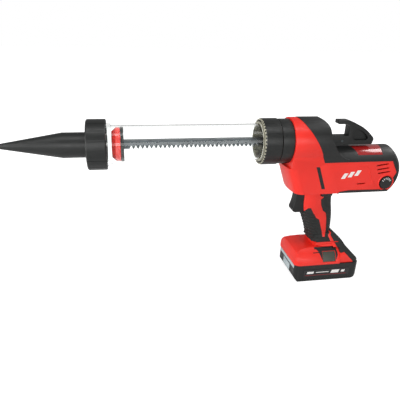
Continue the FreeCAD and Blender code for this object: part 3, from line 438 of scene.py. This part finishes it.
def draped(name, tree, outline, way, material, body, proud=0.12, spacing=3.0, thick=0.5):
    """Thin skin pressed along way onto a surface.

    The outline is in millimetres: (X, Z) corners for a side, (X, Y) corners for the top.
    """
    way = Vector(way)
    from_above = way.z != 0
    bm = bmesh.new()
    corners = [(x, other, 0) if from_above else (x, 0, other) for x, other in outline]
    ring = [bm.verts.new((x * MM, y * MM, z * MM)) for x, y, z in corners]
    edges = [bm.edges.new(pair) for pair in zip(ring, ring[1:] + ring[:1])]
    bmesh.ops.triangle_fill(bm, edges=edges, use_beauty=True)
    for _ in range(5):
        long = [edge for edge in bm.edges if edge.calc_length() > spacing * MM]
        bmesh.ops.subdivide_edges(bm, edges=long, cuts=1)
        bmesh.ops.triangulate(bm, faces=bm.faces)
    for vertex in bm.verts:
        place, normal, _, _ = tree.ray_cast(vertex.co - way * RAY_START * MM, way)
        vertex.co = place + normal * (proud * MM)
    for face in bm.faces:
        face.normal_update()
        if face.normal.dot(way) > 0:
            face.normal_flip()
    outer = bm.faces[:]
    inner = bmesh.ops.duplicate(bm, geom=outer)["geom"]
    below = [item for item in inner if isinstance(item, bmesh.types.BMVert)]
    for vertex in below:
        vertex.co += way * (thick * MM)
    bmesh.ops.reverse_faces(bm, faces=[item for item in inner if isinstance(item, bmesh.types.BMFace)])
    bmesh.ops.bridge_loops(bm, edges=[edge for edge in bm.edges if edge.is_boundary])
    return new_piece(name, bm, material, body, 40.0)


def both_sides(prefix, build):
    """Make a detail on the left side and its twin on the right side."""
    for side, label in ((-1, "left"), (1, "right")):
        build(side, f"{prefix}_{label}")


def add_grip_ridges():
    """Finger ridges moulded across the front of the grip."""
    tree = surface_of("left_grip_cover", "right_grip_cover")
    centre_low, centre_high = Vector((-10.0, 0, 72.0)), Vector((-20.0, 0, 114.0))
    count, reach = 8, 60.0
    for number in range(count):
        centre = centre_low.lerp(centre_high, number / (count - 1))
        rays = []
        for step in range(-12, 13):
            turn = math.radians(step * 6.5)
            way = Vector((-math.cos(turn), math.sin(turn), 0))
            rise = Vector((0, 0, 2.5 * math.cos(turn)))
            rays.append(((centre + rise + way * reach) * MM, -way))
        rib(f"grip_ridge_{number + 1}", tree, rays, 1.4 * MM, 1.1 * MM, "soft_grip", "housing")


def add_side_details():
    shells = {-1: surface_of("left_shell"), 1: surface_of("right_shell")}
    outline = [(29.0, 204.6), (44.0, 204.4), (50.3, 198.0), (54.4, 185.0), (62.5, 172.5)]
    bars = [(2.0, 0.0), (13.0, 2.2), (24.0, 4.4)]

    def panel(side, name):
        rib(name, shells[side], side_rays(outline, side), 0.9 * MM, 0.45 * MM,
            "red_plastic", "housing")

    def marks(side, name):
        for number, (start, rise) in enumerate(bars):
            low, high, lean, width = 185.0 + rise, 194.0 + rise, 5.0, 6.5
            corners = [(start, low), (start + width, low), (start + width + lean, high), (start + lean, high)]
            draped(f"{name}_{number + 1}", shells[side], corners, (0, -side, 0),
                   "print_white", "housing", proud=0.05, thick=0.3)

    both_sides("side_panel_edge", panel)
    both_sides("side_mark", marks)


def add_dial_bezel():
    """Raised ring around the speed dial, and the ticks printed on the dial's face."""
    low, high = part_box("speed_dial")
    centre_x, centre_z = (low.x + high.x) / 2, (low.z + high.z) / 2
    radius = (high.x - low.x) / 2 + 1.6 * MM
    tree = surface_of("left_shell", "left_rear_cover")
    steps, ticks, tick_place = 48, 6, 7.4 * MM
    rays = []
    for step in range(steps + 1):
        turn = 2 * math.pi * step / steps
        along, up = radius * math.cos(turn), radius * math.sin(turn)
        rays.append((Vector((centre_x + along, -RAY_START * MM, centre_z + up)), Vector(RIGHT)))
    rib("dial_bezel", tree, rays, 1.3 * MM, 0.9 * MM, "red_plastic", "housing", closed=True)
    for number in range(ticks):
        turn = math.radians(30 + 24 * number)
        bm = bmesh.new()
        bmesh.ops.create_cube(bm, size=1.0)
        bmesh.ops.scale(bm, vec=(3.4 * MM, 0.3 * MM, 0.9 * MM), verts=bm.verts)
        bmesh.ops.bevel(bm, geom=bm.edges[:], offset=0.1 * MM, segments=1, affect="EDGES")
        spot = Matrix.Translation((centre_x, low.y + 0.02 * MM, centre_z)) @ Matrix.Rotation(-turn, 4, "Y")
        bmesh.ops.transform(bm, matrix=spot @ Matrix.Translation((tick_place, 0, 0)), verts=bm.verts)
        new_piece(f"dial_tick_{number + 1}", bm, "print_white", "dial")


def add_battery_details():
    lower, upper = surface_of("battery_lower_case"), surface_of("battery_upper_case")
    plate = [(-42.0, 8.0), (42.0, 8.0), (42.0, 21.5), (-42.0, 21.5)]
    line = [(-39.0, 10.2), (36.0, 10.2), (37.0, 11.3), (-38.0, 11.3)]
    blocks = ([(-36, 14), (-24, 14), (-23, 18), (-35, 18)],
              [(-19, 15.4), (4, 15.4), (4.3, 16.6), (-18.7, 16.6)],
              [(8, 13), (22, 13), (24, 19), (10, 19)], [(27, 14), (33, 14), (34, 18), (28, 18)])
    surround = [(-22.0, 56.6), (-16.0, 52.0), (-10.6, 40.0), (-9.8, 40.0), (-9.8, 51.8),
                (14.8, 51.8), (14.8, 38.0), (18.6, 46.0), (17.0, 56.6)]

    def label(side, name):
        inward = (0, -side, 0)
        draped(f"{name}_plate", lower, plate, inward, "label_black", "battery",
               proud=-0.45, thick=0.4)
        draped(f"{name}_line", lower, line, inward, "print_red", "battery",
               proud=-0.3, thick=0.3)
        for number, block in enumerate(blocks):
            draped(f"{name}_block_{number + 1}", lower, block, inward, "print_white", "battery",
                   proud=-0.3, thick=0.3)

    def latch_surround(side, name):
        draped(name, upper, surround, (0, -side, 0), "black_plastic", "battery",
               proud=0.25, thick=0.6)
        deck = [(-22.0, side * 24.2), (17.0, side * 24.2), (17.0, side * 27.0), (-22.0, side * 27.0)]
        draped(f"{name}_deck", upper, deck, DOWN, "black_plastic", "battery", thick=0.6)

    def case_edge(side, name):
        rib(name, upper, side_rays([(-26.0, 50.4), (-12.5, 50.6)], side), 0.8 * MM, 0.5 * MM, "black_plastic",
            "battery")

    both_sides("battery_label", label)
    both_sides("case_edge", case_edge)
    both_sides("latch_surround", latch_surround)
    low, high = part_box("battery_lower_case")
    bm = bmesh.new()
    bmesh.ops.create_cube(bm, size=1.0)
    bmesh.ops.scale(bm, vec=(0.9 * MM, (high.y - low.y) - 14 * MM, 6.0 * MM), verts=bm.verts)
    bmesh.ops.bevel(bm, geom=bm.edges[:], offset=0.3 * MM, segments=2, affect="EDGES")
    bmesh.ops.translate(bm, vec=(low.x, 0, high.z - 4.6 * MM), verts=bm.verts)
    new_piece("battery_front_strip", bm, "pale_grey", "battery")


def lathe(name, profile, material, body, segments=96, angle=35.0):
    """Closed (X, radius) profile in millimetres, turned about the barrel line."""
    bm = bmesh.new()
    rings = []
    for number in range(segments):
        turn = 2 * math.pi * number / segments
        across, up = math.cos(turn), math.sin(turn)
        rings.append([bm.verts.new((x * MM, radius * MM * across, AXIS_Z + radius * MM * up))
                      for x, radius in profile])
    for number in range(segments):
        first, second = rings[number], rings[(number + 1) % segments]
        for index in range(len(profile)):
            turn = (index + 1) % len(profile)
            bm.faces.new((first[index], first[turn], second[turn], second[index]))
    bmesh.ops.recalc_face_normals(bm, faces=bm.faces)
    return new_piece(name, bm, material, body, angle)


def add_rear_ring():
    """Ribbed ivory sleeve that holds the barrel in the collar, with its pale toothed edge."""
    low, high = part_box("rear_ring")
    start, end = low.x / MM, high.x / MM
    inner, outer = 28.05, 31.0
    outside, inside = [], []
    ridges = 5
    for number in range(ridges * 2 + 1):
        place = start + (end - start) * number / (ridges * 2)
        outside.append((place, outer - (0.7 if number % 2 else 0.0)))
        inside.append((place, inner))
    sleeve = lathe("rear_ring_skin", outside + inside[::-1], "ivory_ring", "barrel")
    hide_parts("rear_ring")
    collar_low, collar_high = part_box("barrel_collar")
    rim = (collar_high.z - collar_low.z) / 2
    teeth, depth = 40, 2.2 * MM
    bm = bmesh.new()
    for number in range(teeth):
        turn = 2 * math.pi * number / teeth
        tooth = bmesh.ops.create_cube(bm, size=1.0)["verts"]
        bmesh.ops.scale(bm, vec=(depth, 2.6 * MM, 2.4 * MM), verts=tooth)
        spot = Matrix.Translation((collar_low.x, 0, AXIS_Z)) @ Matrix.Rotation(turn, 4, "X")
        bmesh.ops.transform(bm, matrix=spot @ Matrix.Translation((0, 0, rim - 1.7 * MM)), verts=tooth)
    bmesh.ops.bevel(bm, geom=bm.edges[:], offset=0.4 * MM, segments=1, affect="EDGES")
    new_piece("collar_teeth", bm, "ivory_ring", "collar")


add_camera()
add_stage()
finish_cad_nodes()
add_grip_ridges()
add_side_details()
add_dial_bezel()
add_battery_details()
add_rear_ring()
